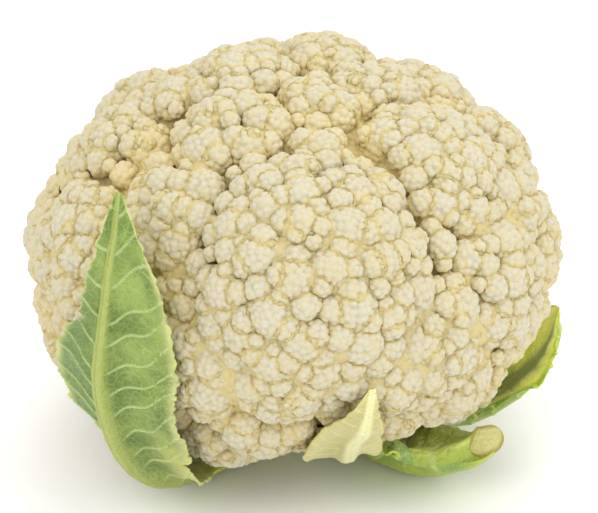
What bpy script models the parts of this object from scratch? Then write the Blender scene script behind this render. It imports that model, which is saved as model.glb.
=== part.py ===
"""A cauliflower as picked and trimmed: one head of white florets, the stalk that carries it, and its leaves.

Metres, +Z up, the front of the head towards -Y. The origin is the middle of the stalk's cut face, on which it stands.
"""

import math

import bmesh
import bpy
import numpy as np
from mathutils import Vector

# Driving dimensions of the head
HEAD_CENTRE = np.array((0.0, -0.008, 0.068))
HEAD_HALF_X = 0.094
HEAD_HALF_Y = 0.091
HEAD_RISE = 0.0745
HEAD_DROP = 0.063
UNDERSIDE_TOP = 0.037
UNDERSIDE_FALL = 0.0075
UNDERSIDE_HALF_WIDTH = 0.043
UNDERSIDE_RING = 9
UNDERSIDE_RING_ELEVATION = -62.0
CORE_DEPTH = 0.014

# Driving dimensions of the stalk
STALK_RADIUS = 0.0195
STALK_NECK = 0.014
STALK_FLARE = 0.039
STALK_GAP = 0.0008
STALK_BRANCHES = 9
STALK_RIB = 0.0035
STALK_STEPS = 45

# How the florets bulge and how the lobes sit on them
DOME_CURVE = 1.24
LOBE_SPACING = 0.79
LOBE_RADIUS_FRONT = (0.0060, 0.0095)
LOBE_RADIUS_BACK = (0.0076, 0.0100)
LOWEST_LOBE_REACH = 0.046
FLORET_VALLEY = 0.012
DARTS = 12000
SEED = 12

# Florets that the photograph shows: azimuth and elevation from the head's centre in degrees,
# with azimuth 0 to the front and 90 to +X, then half the width and how far it stands proud
SEEN_FLORETS = (
    (5, 25, 0.036, 0.0110),
    (-2, 1, 0.019, 0.0030),
    (-19, -3, 0.021, -0.0010),
    (-10, -24, 0.020, -0.0005),
    (-24, -37, 0.019, 0.0020),
    (-50, -34, 0.019, 0.0020),
    (10, -38, 0.015, -0.0110),
    (-24, 14, 0.015, -0.0060),
    (-36, -16, 0.020, -0.0030),
    (31, 4, 0.028, 0.0005),
    (21, -4, 0.015, 0.0015),
    (40, -15, 0.019, -0.0005),
    (10, -19, 0.016, -0.0100),
    (27, -22, 0.016, -0.0030),
    (53, 11, 0.028, 0.0010),
    (55, 42, 0.031, 0.0025),
    (71, 27, 0.021, 0.0005),
    (37, 24, 0.016, -0.0020),
    (80, 66, 0.021, 0.0000),
    (108, 50, 0.022, 0.0000),
    (150, 72, 0.018, 0.0015),
    (20, 72, 0.016, -0.0010),
    (7, 53, 0.015, -0.0025),
    (-88, 74, 0.024, 0.0020),
    (-34, 59, 0.024, 0.0005),
    (-33, 35, 0.024, -0.0005),
    (-13, 45, 0.013, -0.0020),
    (-78, 40, 0.025, 0.0000),
    (-63, 17, 0.026, 0.0000),
    (-52, 0, 0.020, -0.0020),
    (-80, 57, 0.018, -0.0005),
    (93, 33, 0.019, 0.0000),
    (80, 10, 0.021, -0.0025),
    (70, -13, 0.022, -0.0070),
    (96, -8, 0.022, -0.0070),
    (-66, -15, 0.021, -0.0015),
    (57, -29, 0.017, -0.0010),
)
UNSEEN_FLORETS = 58
UNSEEN_HALF_WIDTH = (0.021, 0.028)
UNSEEN_LOWEST = -38.0
FLORET_ROOM = 0.80

# Leaves. Each path is the middle of the inner face, from the stalk to the tip, as
# azimuth in degrees, distance from the head's axis and height, then the widths of the
# blade to the left and right of the rib and the thickness of the rib there. Segments
# count the steps along and across, cup is the radius that the blade bends round, and
# wave is how far its edges swing in and out.
LEAVES = {
    "leaf_left": {
        "path": (
            (-42, 0.0214, 0.0108, 0.0085, 0.0085, 0.0090),
            (-42, 0.0360, 0.0100, 0.0080, 0.0085, 0.0090),
            (-43, 0.0505, 0.0112, 0.0090, 0.0115, 0.0088),
            (-43, 0.0655, 0.0170, 0.0120, 0.0205, 0.0082),
            (-42, 0.0775, 0.0300, 0.0190, 0.0260, 0.0072),
            (-40.5, 0.0865, 0.0460, 0.0240, 0.0285, 0.0060),
            (-39.5, 0.0915, 0.0620, 0.0215, 0.0275, 0.0048),
            (-38, 0.0920, 0.0790, 0.0125, 0.0265, 0.0038),
            (-37, 0.0900, 0.0980, 0.0085, 0.0165, 0.0028),
            (-37.5, 0.0830, 0.1205, 0.0010, 0.0010, 0.0014),
        ),
        "segments": (26, 10),
        "cup": 0.085,
        "wave": 0.0010,
    },
    "leaf_front_small": {
        "path": (
            (15, 0.0214, 0.0130, 0.0038, 0.0038, 0.0056),
            (21, 0.0340, 0.0160, 0.0055, 0.0050, 0.0054),
            (20, 0.0480, 0.0200, 0.0080, 0.0060, 0.0048),
            (17, 0.0600, 0.0275, 0.0130, 0.0075, 0.0040),
            (15, 0.0700, 0.0380, 0.0160, 0.0080, 0.0030),
            (14.5, 0.0780, 0.0520, 0.0095, 0.0050, 0.0022),
            (14.5, 0.0830, 0.0680, 0.0008, 0.0008, 0.0012),
        ),
        "segments": (14, 8),
        "cup": 0.060,
        "wave": 0.0004,
    },
    "leaf_right_front": {
        "path": (
            (54, 0.0214, 0.0112, 0.0070, 0.0075, 0.0086),
            (57, 0.0340, 0.0108, 0.0110, 0.0085, 0.0096),
            (58, 0.0460, 0.0112, 0.0285, 0.0085, 0.0100),
            (58, 0.0565, 0.0135, 0.0460, 0.0085, 0.0100),
            (57, 0.0640, 0.0190, 0.0290, 0.0070, 0.0100),
            (55, 0.0705, 0.0275, 0.0058, 0.0058, 0.0100),
        ),
        "segments": (14, 10),
        "cup": 0.027,
        "wave": 0.0004,
        "clearance": 0.0036,
    },
    "leaf_right_side": {
        "path": (
            (98, 0.0214, 0.0112, 0.0075, 0.0075, 0.0084),
            (94, 0.0380, 0.0106, 0.0085, 0.0085, 0.0086),
            (90, 0.0540, 0.0120, 0.0100, 0.0110, 0.0080),
            (88, 0.0660, 0.0180, 0.0110, 0.0160, 0.0072),
            (85, 0.0755, 0.0265, 0.0140, 0.0210, 0.0060),
            (84, 0.0830, 0.0360, 0.0175, 0.0220, 0.0048),
            (83, 0.0865, 0.0455, 0.0120, 0.0150, 0.0034),
            (82, 0.0875, 0.0550, 0.0012, 0.0012, 0.0016),
        ),
        "segments": (20, 8),
        "cup": 0.085,
        "wave": 0.0012,
    },
    "leaf_back_right": {
        "path": (
            (148, 0.0214, 0.0112, 0.0085, 0.0085, 0.0088),
            (148, 0.0380, 0.0106, 0.0085, 0.0085, 0.0086),
            (148, 0.0540, 0.0128, 0.0110, 0.0110, 0.0082),
            (149, 0.0680, 0.0215, 0.0190, 0.0190, 0.0074),
            (150, 0.0800, 0.0350, 0.0270, 0.0260, 0.0062),
            (151, 0.0880, 0.0500, 0.0290, 0.0280, 0.0050),
            (152, 0.0905, 0.0650, 0.0230, 0.0220, 0.0038),
            (153, 0.0890, 0.0790, 0.0130, 0.0120, 0.0028),
            (153, 0.0850, 0.0920, 0.0012, 0.0012, 0.0014),
        ),
        "segments": (20, 8),
        "cup": 0.085,
        "wave": 0.0012,
    },
    "leaf_back_left": {
        "path": (
            (-142, 0.0214, 0.0112, 0.0085, 0.0085, 0.0088),
            (-142, 0.0380, 0.0106, 0.0085, 0.0085, 0.0086),
            (-143, 0.0540, 0.0128, 0.0110, 0.0110, 0.0082),
            (-144, 0.0680, 0.0215, 0.0200, 0.0200, 0.0074),
            (-145, 0.0800, 0.0350, 0.0280, 0.0280, 0.0062),
            (-145, 0.0880, 0.0500, 0.0290, 0.0310, 0.0050),
            (-146, 0.0900, 0.0640, 0.0230, 0.0250, 0.0038),
            (-147, 0.0885, 0.0770, 0.0130, 0.0140, 0.0028),
            (-148, 0.0850, 0.0890, 0.0012, 0.0012, 0.0014),
        ),
        "segments": (20, 8),
        "cup": 0.085,
        "wave": 0.0012,
    },
}
BLADE_THICKNESS = 0.0009
RIB_SPREAD = (0.0022, 0.62)
ACROSS_CROWDING = 1.5
WAVES_ALONG = 5.0
WAVE_HALF_WIDTH = 0.020
LEAN_SHARE = 1 / 3

# How leaves keep clear of the lobes: the gap, how many rays round a place are looked
# along and how wide they spread, and the steepest downward ray that still meets lobes
LEAF_CLEARANCE = 0.0014
LOOK_AROUND = 14
LOOK_WIDTH = 0.075
STEEPEST_CONTACT = -0.82

COLOURS = {
    "curd": ((0.86, 0.80, 0.62), 0.62),
    "stalk": ((0.72, 0.78, 0.52), 0.50),
    "leaf": ((0.36, 0.50, 0.20), 0.48),
    "leaf_pale": ((0.74, 0.78, 0.46), 0.48),
}


def material(name):
    """A plain finish of the named colour."""
    colour, roughness = COLOURS[name]
    made = bpy.data.materials.new(name)
    made.use_nodes = True
    shader = made.node_tree.nodes["Principled BSDF"]
    shader.inputs["Base Color"].default_value = (*colour, 1.0)
    shader.inputs["Roughness"].default_value = roughness
    shader.inputs["Metallic"].default_value = 0.0
    return made


def add_object(name, mesh, collection, finish):
    """The mesh as an object of the collection, shaded smooth."""
    mesh.materials.append(finish)
    mesh.shade_smooth()
    obj = bpy.data.objects.new(name, mesh)
    collection.objects.link(obj)
    return obj


def direction(azimuth, elevation):
    """Unit vector from the head's centre: azimuth 0 is the front, 90 is +X, elevation is upward."""
    a, e = math.radians(azimuth), math.radians(elevation)
    return np.array((math.sin(a) * math.cos(e), -math.cos(a) * math.cos(e), math.sin(e)))


def outline(rays):
    """Distance from the head's centre to its smooth outline along unit rays."""
    rise = np.where(rays[..., 2] > 0, HEAD_RISE, HEAD_DROP)
    scaled = rays / np.stack((np.full_like(rise, HEAD_HALF_X), np.full_like(rise, HEAD_HALF_Y), rise), -1)
    return 1.0 / np.linalg.norm(scaled, axis=-1)


def outline_normal(ray):
    """Unit normal of the smooth outline where a ray from the head's centre meets it."""
    rise = HEAD_RISE if ray[2] > 0 else HEAD_DROP
    normal = ray / np.array((HEAD_HALF_X, HEAD_HALF_Y, rise)) ** 2
    return normal / np.linalg.norm(normal)


def underside(rays):
    """Distance from the head's centre to the hollow dish under it, where the stalk's branches spread."""
    steep = np.minimum(rays[..., 2], -0.05)
    flat_reach = (HEAD_CENTRE[2] - UNDERSIDE_TOP) / -steep
    out = np.minimum(from_axis(rays * flat_reach[..., None]) / UNDERSIDE_HALF_WIDTH, 1.6)
    return (HEAD_CENTRE[2] - UNDERSIDE_TOP + UNDERSIDE_FALL * out**2) / -steep


def from_axis(places):
    """Distance of places, given from the head's centre, to the stalk's upright axis."""
    return np.hypot(places[..., 0] + HEAD_CENTRE[0], places[..., 1] + HEAD_CENTRE[1])


def fibonacci_rays(count):
    """Evenly spread unit rays over the whole sphere."""
    turn = math.pi * (3.0 - math.sqrt(5.0))
    rays = []
    for i in range(count):
        height = 1.0 - 2.0 * (i + 0.5) / count
        flat = math.sqrt(1.0 - height * height)
        rays.append(np.array((flat * math.cos(turn * i), flat * math.sin(turn * i), height)))
    return rays


def grow_florets(rng):
    """Every floret as (apex, centre of its dome, radius of its dome, half-width, is it in front)."""
    chosen = [(direction(az, el), half, proud, True) for az, el, half, proud in SEEN_FLORETS]
    for ray in fibonacci_rays(UNSEEN_FLORETS):
        half = rng.uniform(*UNSEEN_HALF_WIDTH)
        if math.degrees(math.asin(ray[2])) < UNSEEN_LOWEST:
            continue
        place = ray * outline(ray)
        apart = [np.linalg.norm(place - spot * outline(spot)) / (half + width) for spot, width, _, _ in chosen]
        if min(apart) > FLORET_ROOM:
            chosen.append((ray, half, rng.uniform(-0.002, 0.001), False))
    florets = []
    for ray, half, proud, seen in chosen:
        radius = DOME_CURVE * half
        apex = ray * (outline(ray) + proud)
        florets.append((apex, apex - outline_normal(ray) * radius, radius, half, seen))
    return florets


def sphere_reach(rays, centres, radii):
    """Distance along unit rays to the far side of every sphere, 0 where a ray misses it."""
    along = rays @ centres.T
    inside = along**2 - (centres**2).sum(1) + radii**2
    return np.where(inside > 0, along + np.sqrt(np.maximum(inside, 0.0)), 0.0)


def random_rays(rng, count):
    """Unit rays in random directions."""
    rays = rng.normal(size=(count, 3))
    return rays / np.linalg.norm(rays, axis=1)[:, None]


def grow_lobes(florets, rng):
    """Round lobes that cover the florets, as arrays of sphere centres and radii, from the head's centre."""
    domes = np.array([f[1] for f in florets])
    radii = np.array([f[2] for f in florets])
    rays = random_rays(rng, DARTS)
    reaches = sphere_reach(rays, domes, radii)
    owners = reaches.argmax(axis=1)
    tops, sizes, lobes = np.zeros((0, 3)), np.zeros(0), []
    for dart, (ray, owner) in enumerate(zip(rays, owners, strict=True)):
        top = ray * max(reaches[dart, owner], float(outline(ray)) - FLORET_VALLEY)
        if ray[2] < 0 and from_axis(top) < LOWEST_LOBE_REACH:
            continue
        low, high = LOBE_RADIUS_FRONT if florets[owner][4] else LOBE_RADIUS_BACK
        eager = max(0.0, 1.0 - 1.6 * dart / DARTS)
        size = low + (high - low) * eager * rng.uniform(0.5, 1.0)
        if len(sizes) and (np.linalg.norm(tops - top, axis=1) < LOBE_SPACING * (sizes + size)).any():
            continue
        up = top - domes[owner]
        tops = np.vstack((tops, top))
        sizes = np.append(sizes, size)
        lobes.append(top - up / np.linalg.norm(up) * size)
    return np.array(lobes), sizes


def head_reach(rays, lobes, sizes):
    """Distance from the head's centre to the outermost surface along unit rays."""
    reach = np.maximum(sphere_reach(rays, lobes, sizes).max(axis=1), outline(rays) - CORE_DEPTH)
    dish = underside(rays)
    below = (rays[:, 2] < -0.3) & (from_axis(rays * dish[:, None]) < UNDERSIDE_HALF_WIDTH)
    return np.where(below, np.minimum(reach, dish), reach)


def rays_of(bm):
    """The vertices as unit rays, in index order."""
    bm.verts.ensure_lookup_table()
    rays = np.array([v.co[:] for v in bm.verts])
    return rays / np.linalg.norm(rays, axis=1)[:, None]


def split_edges(bm):
    """Cuts every triangle into four and puts the new corners back on the unit sphere."""
    bmesh.ops.subdivide_edges(bm, edges=bm.edges[:], cuts=1, use_grid_fill=True)
    bmesh.ops.triangulate(bm, faces=bm.faces[:])
    for vertex in bm.verts:
        vertex.co.normalize()


def slide_to_crease(bm, corners, lobes, sizes):
    """Moves each corner between two lobes to the lowest point between their tops."""
    bm.verts.ensure_lookup_table()
    shares = np.linspace(0.30, 0.70, 9)
    for vertex in bm.verts[corners:]:
        ends = [e.other_vert(vertex).co for e in vertex.link_edges if e.other_vert(vertex).index < corners]
        if len(ends) != 2:
            continue
        line = np.array([ends[0].lerp(ends[1], s).normalized()[:] for s in shares])
        vertex.co = line[head_reach(line, lobes, sizes).argmin()]


def build_curd(collection, finish, lobes, sizes):
    """The head: a corner on the top of each lobe, and finer corners down to the creases between."""
    bm = bmesh.new()
    reach = np.linalg.norm(lobes, axis=1)
    for lobe in lobes / reach[:, None]:
        bm.verts.new(lobe)
    bm.verts.new((0.0, 0.0, -1.0))
    for step in range(UNDERSIDE_RING):
        angle = 360.0 * step / UNDERSIDE_RING
        bm.verts.new(direction(angle, UNDERSIDE_RING_ELEVATION))
    hull = bmesh.ops.convex_hull(bm, input=bm.verts[:])
    unused = hull["geom_interior"] + hull["geom_unused"]
    loose = {v for v in unused if isinstance(v, bmesh.types.BMVert)}
    bmesh.ops.delete(bm, geom=list(loose), context="VERTS")
    bm.verts.index_update()
    corners = len(bm.verts)
    split_edges(bm)
    bm.verts.index_update()
    slide_to_crease(bm, corners, lobes, sizes)
    split_edges(bm)
    rays = rays_of(bm)
    places = rays * head_reach(rays, lobes, sizes)[:, None] + HEAD_CENTRE
    for vertex, place in zip(bm.verts, places, strict=True):
        vertex.co = place
    bmesh.ops.recalc_face_normals(bm, faces=bm.faces[:])
    mesh = bpy.data.meshes.new("curd")
    bm.to_mesh(mesh)
    bm.free()
    return add_object("curd", mesh, collection, finish)


def dish_height(reach):
    """Height of the head's hollow underside at this distance from the axis."""
    return UNDERSIDE_TOP - UNDERSIDE_FALL * (reach / UNDERSIDE_HALF_WIDTH) ** 2


def build_stalk(collection, finish):
    """The stalk: a turned stem, cut flat below, that spreads into ribs under the head."""
    profile = [
        (0.0, dish_height(0.0) - STALK_GAP),
        (0.016, dish_height(0.016) - STALK_GAP),
        (0.030, dish_height(0.030) - STALK_GAP),
        (STALK_FLARE, dish_height(STALK_FLARE) - STALK_GAP),
        (STALK_FLARE, dish_height(STALK_FLARE) - 0.0045),
        (0.036, 0.0245),
        (0.029, 0.0215),
        (0.0235, 0.0175),
        (STALK_RADIUS + 0.0008, STALK_NECK),
        (STALK_RADIUS, STALK_NECK * 0.5),
        (STALK_RADIUS, 0.0008),
        (STALK_RADIUS - 0.0008, 0.0),
        (0.0, 0.0),
    ]
    mesh = bpy.data.meshes.new("stalk_profile")
    mesh.from_pydata([(x, 0.0, z) for x, z in profile], [(i, i + 1) for i in range(len(profile) - 1)], [])
    turned = bpy.data.objects.new("stalk_profile", mesh)
    collection.objects.link(turned)
    screw = turned.modifiers.new("turn", "SCREW")
    screw.steps = screw.render_steps = STALK_STEPS
    screw.use_merge_vertices = True
    screw.merge_threshold = 0.00005
    bpy.context.view_layer.update()
    solid = bpy.data.meshes.new_from_object(turned.evaluated_get(bpy.context.evaluated_depsgraph_get()))
    bpy.data.objects.remove(turned)
    solid.name = "stalk"
    for vertex in solid.vertices:
        x, y, z = vertex.co
        reach = math.hypot(x, y)
        below = dish_height(reach) - STALK_GAP * 1.5 > z
        if below and reach > STALK_RADIUS + 0.002:
            spread = (reach - STALK_RADIUS) / (STALK_FLARE - STALK_RADIUS)
            rib = 0.5 + 0.5 * math.cos(STALK_BRANCHES * math.atan2(y, x))
            vertex.co.z = z - STALK_RIB * rib * math.sin(math.pi * min(1.0, 0.15 + 0.6 * spread))
    return add_object("stalk", solid, collection, finish)


def along_path(path, share):
    """Smooth values of a leaf's path rows at a share from 0 to 1 of its length, by Catmull-Rom."""
    rows = np.array(path, float)
    rows = np.vstack((2 * rows[0] - rows[1], rows, 2 * rows[-1] - rows[-2]))
    spot = min(share, 1.0 - 1e-9) * (len(path) - 1)
    first, t = int(spot), spot - int(spot)
    a, b, c, d = rows[first : first + 4]
    return 0.5 * (2 * b + (c - a) * t + (2 * a - 5 * b + 4 * c - d) * t**2 + (3 * b - a - 3 * c + d) * t**3)


def rib_point(path, share):
    """Place of the rib's inner face at a share of the leaf's length."""
    azimuth, reach, height = along_path(path, share)[:3]
    a = math.radians(azimuth)
    lean = HEAD_CENTRE[1] * min(1.0, share / LEAN_SHARE)
    return np.array((reach * math.sin(a), -reach * math.cos(a) + lean, height))


def leaf_point(leaf, share, across, lobes, sizes):
    """Place on the blade's inner face and its thickness: across runs from -1 at the left edge to 1."""
    path = leaf["path"]
    azimuth, reach, height, left, right, rib = along_path(path, share)
    place = rib_point(path, share)
    along = rib_point(path, min(1.0, share + 0.01)) - rib_point(path, max(0.0, share - 0.01))
    along /= np.linalg.norm(along)
    away = place - HEAD_CENTRE
    away -= along * (away @ along)
    away /= np.linalg.norm(away)
    side = np.cross(along, away)
    width = right if across > 0 else left
    offset = width * math.copysign(abs(across) ** ACROSS_CROWDING, across)
    bend = offset / leaf["cup"]
    swing = math.sin(2 * math.pi * WAVES_ALONG * share + 2.0 * np.sign(across))
    wave = leaf["wave"] * (offset / WAVE_HALF_WIDTH) ** 2 * swing
    place = place + side * leaf["cup"] * math.sin(bend) - away * leaf["cup"] * (1 - math.cos(bend))
    place = place + away * wave
    rib_half = RIB_SPREAD[0] + RIB_SPREAD[1] * rib
    thickness = BLADE_THICKNESS + (rib - BLADE_THICKNESS) * math.exp(-((offset / rib_half) ** 2))
    return clear_of_head(place, leaf.get("clearance", LEAF_CLEARANCE), lobes, sizes), thickness


def clear_of_head(place, clearance, lobes, sizes):
    """The place, moved straight out from the head's centre where it would come too near the lobes."""
    away = place - HEAD_CENTRE
    reach = np.linalg.norm(away)
    ray = away / reach
    if ray[2] < STEEPEST_CONTACT:
        return place
    around = np.array(fibonacci_rays(LOOK_AROUND)) * LOOK_WIDTH + ray
    around /= np.linalg.norm(around, axis=1)[:, None]
    return HEAD_CENTRE + ray * max(reach, head_reach(around, lobes, sizes).max() + clearance)


def build_leaf(name, leaf, collection, finish, lobes, sizes):
    """A blade with a thick rib: an open grid bent to shape, given its thickness outward by Solidify."""
    rows, columns = leaf["segments"]
    bm = bmesh.new()
    bmesh.ops.create_grid(bm, x_segments=columns, y_segments=rows, size=1.0)
    thickness = []
    for vertex in bm.verts:
        place, thick = leaf_point(leaf, (vertex.co.y + 1.0) / 2.0, vertex.co.x, lobes, sizes)
        vertex.co = place
        thickness.append(thick)
    bmesh.ops.triangulate(bm, faces=bm.faces[:], quad_method="SHORT_EDGE")
    bm.normal_update()
    middle = sum((f.calc_center_median() for f in bm.faces), Vector()) / len(bm.faces)
    outward = sum((f.normal for f in bm.faces), Vector())
    if outward.dot(middle - Vector(HEAD_CENTRE)) < 0:
        bmesh.ops.reverse_faces(bm, faces=bm.faces[:])
    mesh = bpy.data.meshes.new(name)
    bm.to_mesh(mesh)
    bm.free()
    obj = add_object(name, mesh, collection, finish)
    thickest = max(thickness)
    group = obj.vertex_groups.new(name="thickness")
    for index, thick in enumerate(thickness):
        group.add([index], thick / thickest, "REPLACE")
    shell = obj.modifiers.new("thickness", "SOLIDIFY")
    shell.thickness = thickest
    shell.offset = 1.0
    shell.vertex_group = "thickness"
    shell.use_even_offset = False
    return obj


def main():
    """Clears the scene and builds the head, the stalk and the leaves."""
    for obj in list(bpy.data.objects):
        bpy.data.objects.remove(obj)
    collection = bpy.data.collections.new("cauliflower")
    bpy.context.scene.collection.children.link(collection)
    rng = np.random.default_rng(SEED)
    lobes, sizes = grow_lobes(grow_florets(rng), rng)
    build_curd(collection, material("curd"), lobes, sizes)
    build_stalk(collection, material("stalk"))
    green, pale = material("leaf"), material("leaf_pale")
    for name, leaf in LEAVES.items():
        build_leaf(name, leaf, collection, pale if name == "leaf_front_small" else green, lobes, sizes)
    print("lobes", len(sizes))


main()
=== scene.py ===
"""The cauliflower in fine detail: knobbly ivory head, veined leaves and ribbed stalk, on a pale floor."""

import math

import bpy
import numpy as np
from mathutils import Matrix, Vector


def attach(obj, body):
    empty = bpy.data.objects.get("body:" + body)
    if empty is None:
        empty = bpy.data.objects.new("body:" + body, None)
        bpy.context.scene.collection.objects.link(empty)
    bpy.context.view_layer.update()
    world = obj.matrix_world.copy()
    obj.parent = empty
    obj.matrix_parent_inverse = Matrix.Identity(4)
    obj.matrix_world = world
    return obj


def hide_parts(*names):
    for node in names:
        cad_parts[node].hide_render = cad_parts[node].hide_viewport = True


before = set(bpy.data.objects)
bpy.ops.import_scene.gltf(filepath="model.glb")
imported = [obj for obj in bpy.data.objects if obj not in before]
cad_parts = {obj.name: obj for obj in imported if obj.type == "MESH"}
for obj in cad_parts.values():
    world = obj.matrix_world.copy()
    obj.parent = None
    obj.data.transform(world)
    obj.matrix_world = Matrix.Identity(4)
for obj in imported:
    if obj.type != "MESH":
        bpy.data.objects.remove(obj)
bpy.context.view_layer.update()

# The head, as in the model that this scene dresses
HEAD_CENTRE = np.array((0.0, -0.008, 0.068))
HEAD_HALF_X = 0.094
HEAD_HALF_Y = 0.091
HEAD_RISE = 0.0745
HEAD_DROP = 0.063
UNDERSIDE_TOP = 0.037
UNDERSIDE_FALL = 0.0075
UNDERSIDE_HALF_WIDTH = 0.043
CORE_DEPTH = 0.014
DOME_CURVE = 1.24
LOBE_SPACING = 0.79
LOBE_FADE = 1.6
LOBE_SIZE_SHARE = (0.5, 1.0)
LOBE_RADIUS_FRONT = (0.0060, 0.0095)
LOBE_RADIUS_BACK = (0.0076, 0.0100)
LOWEST_LOBE_REACH = 0.046
FLORET_VALLEY = 0.012
DARTS = 12000
SEED = 12
SEEN_FLORETS = (
    (5, 25, 0.036, 0.0110),
    (-2, 1, 0.019, 0.0030),
    (-19, -3, 0.021, -0.0010),
    (-10, -24, 0.020, -0.0005),
    (-24, -37, 0.019, 0.0020),
    (-50, -34, 0.019, 0.0020),
    (10, -38, 0.015, -0.0110),
    (-24, 14, 0.015, -0.0060),
    (-36, -16, 0.020, -0.0030),
    (31, 4, 0.028, 0.0005),
    (21, -4, 0.015, 0.0015),
    (40, -15, 0.019, -0.0005),
    (10, -19, 0.016, -0.0100),
    (27, -22, 0.016, -0.0030),
    (53, 11, 0.028, 0.0010),
    (55, 42, 0.031, 0.0025),
    (71, 27, 0.021, 0.0005),
    (37, 24, 0.016, -0.0020),
    (80, 66, 0.021, 0.0000),
    (108, 50, 0.022, 0.0000),
    (150, 72, 0.018, 0.0015),
    (20, 72, 0.016, -0.0010),
    (7, 53, 0.015, -0.0025),
    (-88, 74, 0.024, 0.0020),
    (-34, 59, 0.024, 0.0005),
    (-33, 35, 0.024, -0.0005),
    (-13, 45, 0.013, -0.0020),
    (-78, 40, 0.025, 0.0000),
    (-63, 17, 0.026, 0.0000),
    (-52, 0, 0.020, -0.0020),
    (-80, 57, 0.018, -0.0005),
    (93, 33, 0.019, 0.0000),
    (80, 10, 0.021, -0.0025),
    (70, -13, 0.022, -0.0070),
    (96, -8, 0.022, -0.0070),
    (-66, -15, 0.021, -0.0015),
    (57, -29, 0.017, -0.0010),
)
UNSEEN_FLORETS = 58
UNSEEN_HALF_WIDTH = (0.021, 0.028)
UNSEEN_LOWEST = -38.0
UNSEEN_PROUD = (-0.002, 0.001)
FLORET_ROOM = 0.80

# Finer growth on the head, in metres: small lobes that fill hollows, and knobs on every lobe
FILL_RADIUS = (0.0030, 0.0056)
FILL_DARTS = 26000
FILL_SPACING = 0.72
FILL_CLEAR = 0.12
FILL_VALLEY = 0.0056
FILL_FADE = 1.4
FILL_DROP = 0.0016
FILL_INSET = 0.002
KNOB_RADIUS = (0.0012, 0.0021)
KNOB_PACKING = 2.45
KNOB_DROP = 0.0004
KNOB_FLOOR = 0.0013
KNOB_JITTER = 0.19
KNOB_JOIN = 0.0015
FEWEST_KNOBS = 9
KNOB_SHRINK = (0.62, 0.016)
FEWEST_STEPS = 14
LOBE_JOIN = 0.0013
# How deep a hollow sinks to take the full painted ochre shade, and how strongly knob floors, knob joins and
# lobe joins take the painted tan shade of creases
SUNK_SHADE_DEPTH = 0.012
DEPTH_CREASE_SHADE = 0.55
KNOB_CREASE_SHADE = 0.80
LOBE_CREASE_SHADE = 0.9
MAP_INSET = 0.48
UPRIGHT = 0.9
HELPERS = ((0.31, 0.52, 0.79), (0.9, 0.3, 0.1))
CAP_REACH = 1.80
FINE_STEP = 0.00050
BURIED = 0.0003
SECTORS = 18

# Leaves as in the model. Each row, from the stalk to the tip: azimuth in degrees, then in millimetres
# distance from the head's axis, height, the blade's width left and right, and the rib's thickness
LEAF_PATHS = {
    "leaf_left": (
        (-42, 21.4, 10.8, 8.5, 8.5, 9.0),
        (-42, 36.0, 10.0, 8.0, 8.5, 9.0),
        (-43, 50.5, 11.2, 9.0, 11.5, 8.8),
        (-43, 65.5, 17.0, 12.0, 20.5, 8.2),
        (-42, 77.5, 30.0, 19.0, 24.0, 7.2),
        (-40.5, 86.5, 46.0, 24.0, 26.2, 6.0),
        (-39.5, 91.5, 62.0, 21.5, 26.2, 4.8),
        (-38, 92.0, 79.0, 12.5, 26.5, 3.8),
        (-37, 90.0, 98.0, 8.5, 16.5, 2.8),
        (-37.5, 83.0, 120.5, 1.0, 1.0, 1.4),
    ),
    "leaf_front_small": (
        (15, 21.4, 13.0, 3.8, 3.8, 5.6),
        (21, 34.0, 16.0, 6.5, 5.8, 4.8),
        (20, 48.0, 20.0, 9.2, 7.0, 4.2),
        (17, 60.0, 27.5, 13.0, 7.5, 4.0),
        (15, 70.0, 38.0, 16.0, 8.0, 3.0),
        (14.5, 78.0, 52.0, 9.5, 5.0, 2.2),
        (14.5, 83.0, 68.0, 0.8, 0.8, 1.2),
    ),
    "leaf_right_front": (
        (54, 21.4, 11.2, 7.0, 7.5, 8.6),
        (57, 34.0, 10.8, 11.0, 8.5, 9.6),
        (58, 46.0, 11.2, 28.5, 8.5, 10.0),
        (58, 56.5, 13.5, 46.0, 8.5, 10.0),
        (57, 64.0, 19.0, 29.0, 7.0, 10.0),
        (55, 70.0, 28.5, 5.8, 5.8, 10.0),
    ),
    "leaf_right_side": (
        (98, 21.4, 11.2, 7.5, 7.5, 8.4),
        (94, 38.0, 10.6, 8.5, 8.5, 8.6),
        (90, 54.0, 12.0, 10.0, 11.0, 8.0),
        (88, 66.0, 18.0, 8.0, 13.0, 7.2),
        (85, 75.5, 26.5, 10.0, 19.0, 6.0),
        (84, 83.0, 36.0, 15.5, 22.0, 4.8),
        (83, 86.5, 45.5, 13.5, 16.0, 3.4),
        (82, 87.5, 55.0, 1.2, 1.2, 1.6),
    ),
    "leaf_back_right": (
        (148, 21.4, 11.2, 8.5, 8.5, 8.8),
        (148, 38.0, 10.6, 8.5, 8.5, 8.6),
        (148, 54.0, 12.8, 11.0, 11.0, 8.2),
        (149, 68.0, 21.5, 19.0, 19.0, 7.4),
        (150, 80.0, 35.0, 27.0, 26.0, 6.2),
        (151, 88.0, 50.0, 29.0, 28.0, 5.0),
        (152, 90.5, 65.0, 23.0, 22.0, 3.8),
        (153, 89.0, 79.0, 13.0, 12.0, 2.8),
        (153, 85.0, 92.0, 1.2, 1.2, 1.4),
    ),
    "leaf_back_left": (
        (-142, 21.4, 11.2, 8.5, 8.5, 8.8),
        (-142, 38.0, 10.6, 8.5, 8.5, 8.6),
        (-143, 54.0, 12.8, 11.0, 11.0, 8.2),
        (-144, 68.0, 21.5, 20.0, 20.0, 7.4),
        (-145, 80.0, 35.0, 28.0, 28.0, 6.2),
        (-145, 88.0, 50.0, 29.0, 31.0, 5.0),
        (-146, 90.0, 64.0, 23.0, 25.0, 3.8),
        (-147, 88.5, 77.0, 13.0, 14.0, 2.8),
        (-148, 85.0, 89.0, 1.2, 1.2, 1.4),
    ),
}
PATH_UNITS = (1.0, 0.001, 0.001, 0.001, 0.001, 0.001)
BLADE_THICKNESS = 0.0009
RIB_SPREAD = (0.0022, 0.62)
ACROSS_CROWDING = 1.5
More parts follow.
